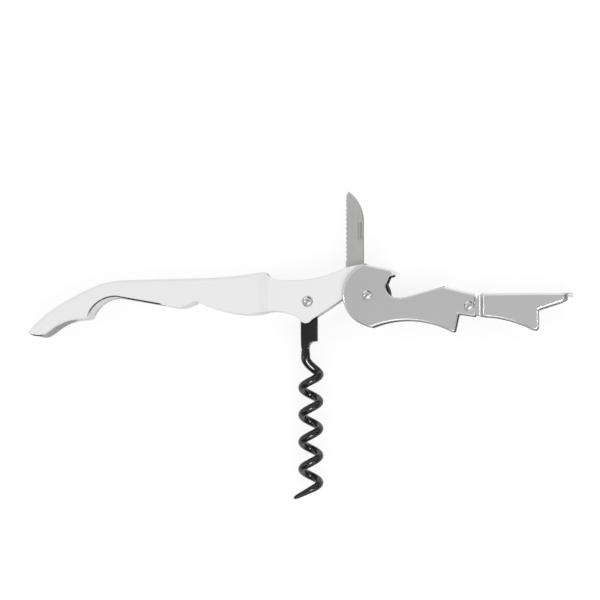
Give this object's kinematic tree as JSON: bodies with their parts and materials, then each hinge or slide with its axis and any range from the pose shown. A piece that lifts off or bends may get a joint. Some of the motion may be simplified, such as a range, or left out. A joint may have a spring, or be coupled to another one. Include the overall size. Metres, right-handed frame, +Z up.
{
  "type": "waiter's corkscrew",
  "caption": "Folding waiter's corkscrew: a folded sheet handle, a coated worm, a serrated foil knife, and a jointed bottle lever with rim teeth and a cap-lifting lip.",
  "frame": {"origin": "on the table, under the middle of the box round the whole tool, opened as in the picture and lying on its side", "axes": "+X along the handle towards the bottle lever, +Y the way the open knife points, +Z up off the table, along every hinge pin"},
  "size_m": [0.1923, 0.108, 0.0128],
  "materials": {
    "white_paint": "gloss white enamel",
    "black_plastic": "matte moulded",
    "blade_steel": "satin ground",
    "black_coating": "glossy non-stick coating",
    "lever_steel": "tumbled and polished",
    "pin_steel": "turned"
  },
  "bodies": {
    "handle": {"handle_shell": "white_paint", "front_liner": "black_plastic", "back_liner": "black_plastic", "knife_pin": "pin_steel", "front_knife_washer": "pin_steel", "back_knife_washer": "pin_steel", "worm_pin": "pin_steel", "lever_pin": "pin_steel"},
    "knife": {"knife_blade": "blade_steel"},
    "worm": {"worm": "black_coating"},
    "first_lever": {"first_lever": "lever_steel", "hinge_pin": "pin_steel", "hinge_sleeve": "pin_steel"},
    "second_lever": {"second_lever": "lever_steel"}
  },
  "joints": [
    {"name": "knife_fold", "type": "hinge", "parent": "handle", "child": "knife", "pos_m": [0.01985, 0.02171, 0.0064], "axis": [0, 0, 1], "range_deg": [0, 90]},
    {"name": "worm_fold", "type": "hinge", "parent": "handle", "child": "worm", "pos_m": [0.00355, 0.01521, 0.0064], "axis": [0, 0, 1], "range_deg": [-90, 0]},
    {"name": "lever_fold", "type": "hinge", "parent": "handle", "child": "first_lever", "pos_m": [0.02465, 0.01711, 0.0064], "axis": [0, 0, 1], "range_deg": [-90, 0]},
    {"name": "second_lever_fold", "type": "hinge", "parent": "first_lever", "child": "second_lever", "pos_m": [0.06015, 0.01321, 0.0064], "axis": [0, 0, 1], "range_deg": [-25, 10]}
  ]
}
